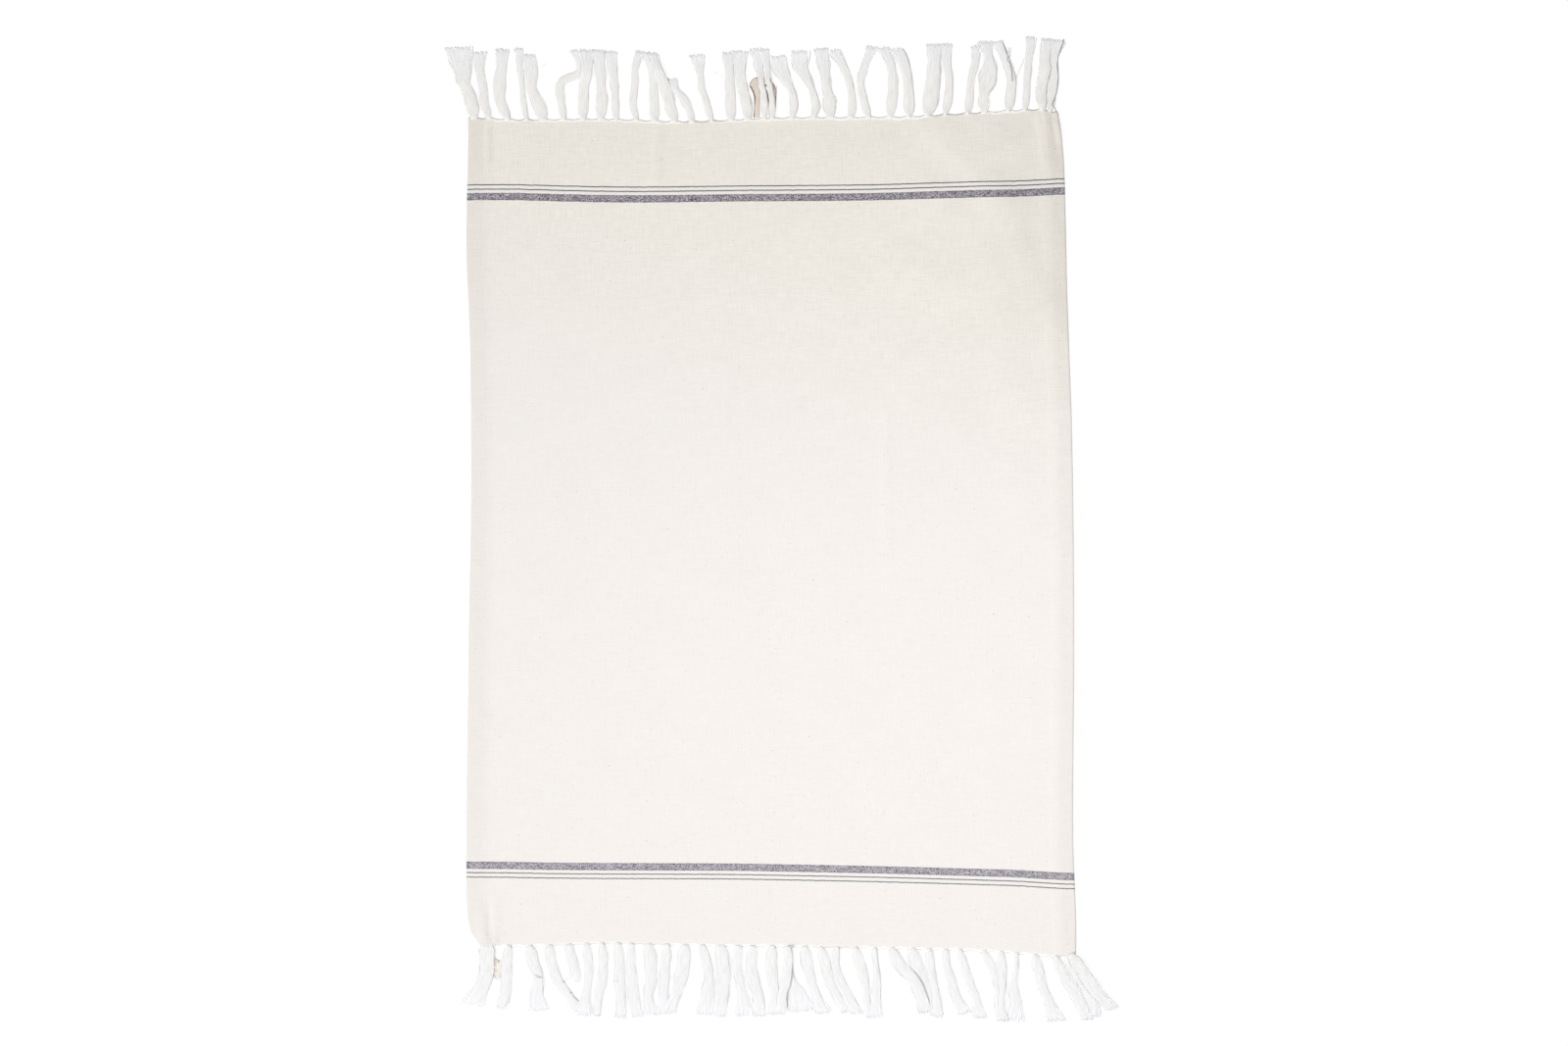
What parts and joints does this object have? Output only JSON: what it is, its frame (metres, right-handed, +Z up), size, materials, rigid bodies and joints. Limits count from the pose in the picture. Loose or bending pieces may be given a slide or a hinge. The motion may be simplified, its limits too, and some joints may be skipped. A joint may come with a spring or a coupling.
{
  "type": "kitchen towel",
  "caption": "Flat woven kitchen towel with turned side hems, a fringe of tassels along each end and a tape hanging loop.",
  "frame": {"origin": "on the surface the towel lies on, at the middle of the towel's box", "axes": "+X across the towel, +Y along it towards the end with the hanging loop, +Z up"},
  "size_m": [0.5614, 0.8268, 0.0076],
  "materials": {
    "woven_cotton": "plain weave, matt, off-white with charcoal stripes",
    "fringe_yarn": "loose cotton yarn, matt, near white",
    "loop_tape": "twill tape, matt, tan"
  },
  "bodies": {
    "root": {"cloth": "woven_cotton", "fringe_head": "fringe_yarn", "fringe_foot": "fringe_yarn", "hanging_loop": "loop_tape"}
  },
  "joints": []
}
